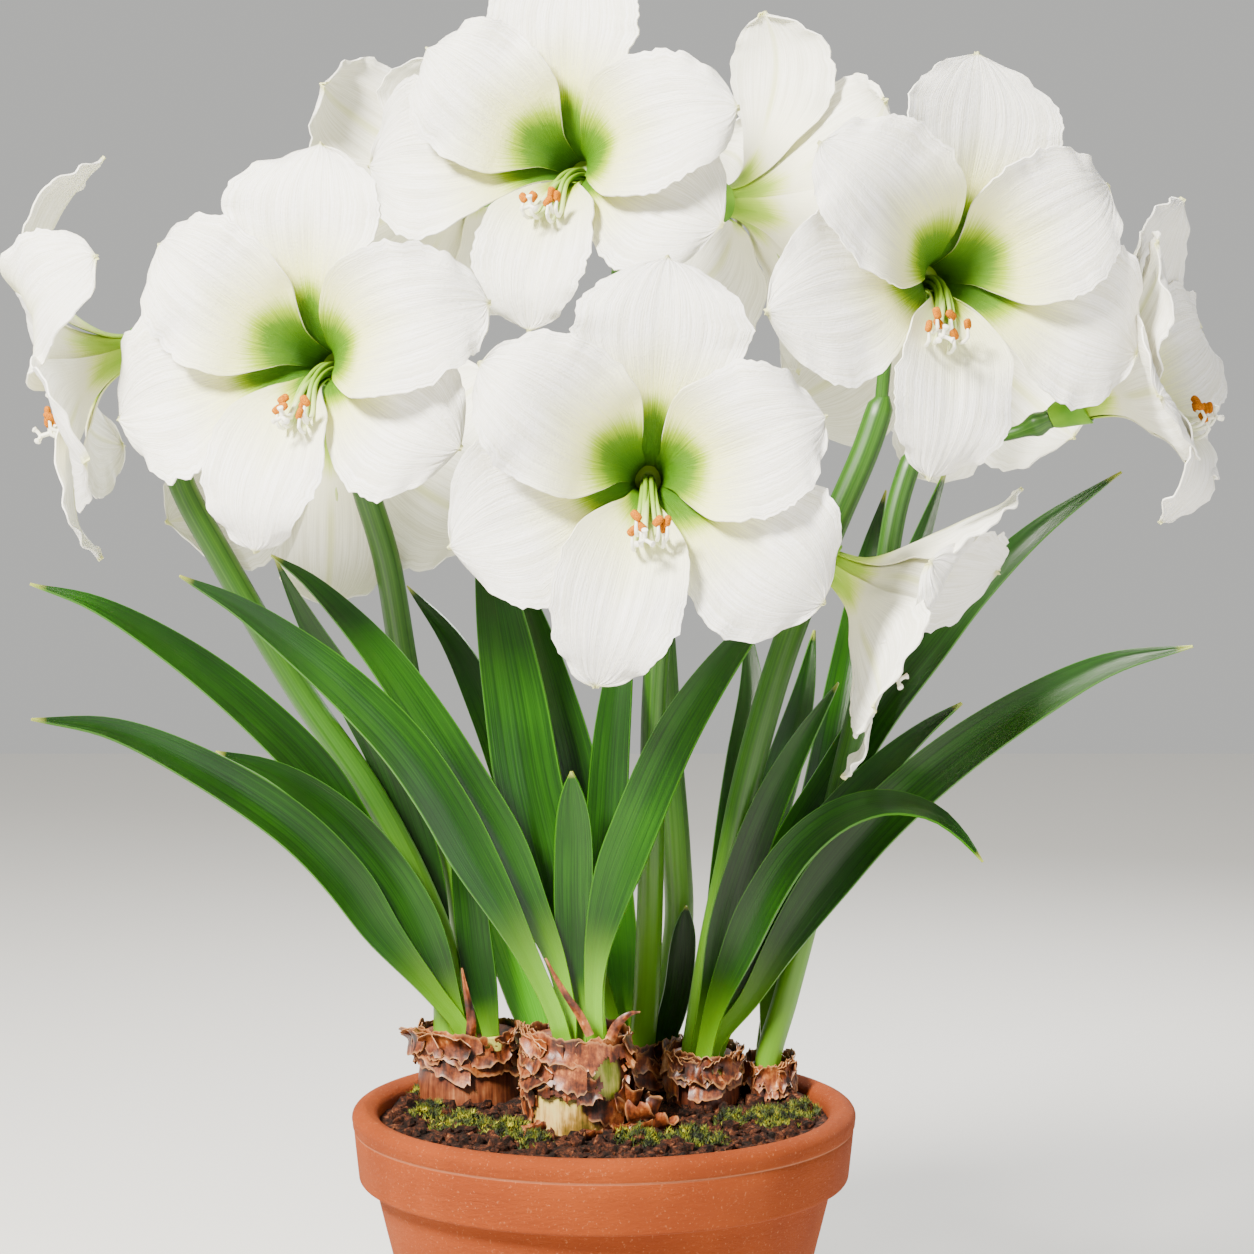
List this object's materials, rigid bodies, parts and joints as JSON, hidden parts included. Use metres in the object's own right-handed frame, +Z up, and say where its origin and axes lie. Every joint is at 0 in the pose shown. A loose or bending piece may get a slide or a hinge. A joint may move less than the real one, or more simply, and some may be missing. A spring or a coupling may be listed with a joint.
{
  "type": "potted amaryllis",
  "caption": "Flowering amaryllis bulbs in a round terracotta pot: large white trumpet flowers with green throats on upright stems above arching strap leaves; decorates a room.",
  "frame": {"origin": "on the pot's axis, at the surface that the pot stands on", "axes": "+Z up along the pot's axis, -Y towards the viewer that the middle flower faces, +X to that viewer's right"},
  "size_m": [0.6238, 0.2904, 0.7769],
  "materials": {
    "terracotta": "matt unglazed",
    "potting_soil": "crumbly, dull",
    "bulb_skin": "dry and papery",
    "flower_stem": "smooth, slightly waxy",
    "petal": "satin, finely veined",
    "stamen": "satin",
    "leaf": "glossy"
  },
  "bodies": {
    "root": {"bulb_centre": "bulb_skin", "bulb_left": "bulb_skin", "bulb_outer": "bulb_skin", "bulb_rear": "bulb_skin", "bulb_right": "bulb_skin", "flower_A": "petal", "flower_B": "petal", "flower_C": "petal", "flower_D": "petal", "flower_E": "petal", "flower_F": "petal", "flower_G": "petal", "flower_H": "petal", "flower_I": "petal", "flower_J": "petal", "flower_K": "petal", "leaf_centre_back": "leaf", "leaf_centre_broad": "leaf", "leaf_centre_left": "leaf", "leaf_centre_low": "leaf", "leaf_centre_right": "leaf", "leaf_centre_short": "leaf", "leaf_centre_upright": "leaf", "leaf_far_back": "leaf", "leaf_far_tall": "leaf", "leaf_left_long": "leaf", "leaf_left_low": "leaf", "leaf_left_mid": "leaf", "leaf_left_short": "leaf", "leaf_left_tall": "leaf", "leaf_rear_dark": "leaf", "leaf_rear_left": "leaf", "leaf_rear_pale": "leaf", "leaf_right_arch": "leaf", "leaf_right_back": "leaf", "leaf_right_blue": "leaf", "leaf_right_curl": "leaf", "leaf_right_inner": "leaf", "leaf_right_long": "leaf", "leaf_right_mid": "leaf", "leaf_shoot": "leaf", "pot": "terracotta", "soil": "potting_soil", "stamens_A": "stamen", "stamens_B": "stamen", "stamens_C": "stamen", "stamens_D": "stamen", "stamens_E": "stamen", "stamens_F": "stamen", "stamens_G": "stamen", "stamens_H": "stamen", "stamens_I": "stamen", "stamens_J": "stamen", "stamens_K": "stamen", "stem_centre": "flower_stem", "stem_far_right": "flower_stem", "stem_left": "flower_stem", "stem_left_inner": "flower_stem", "stem_rear": "flower_stem", "stem_right": "flower_stem"}
  },
  "joints": []
}
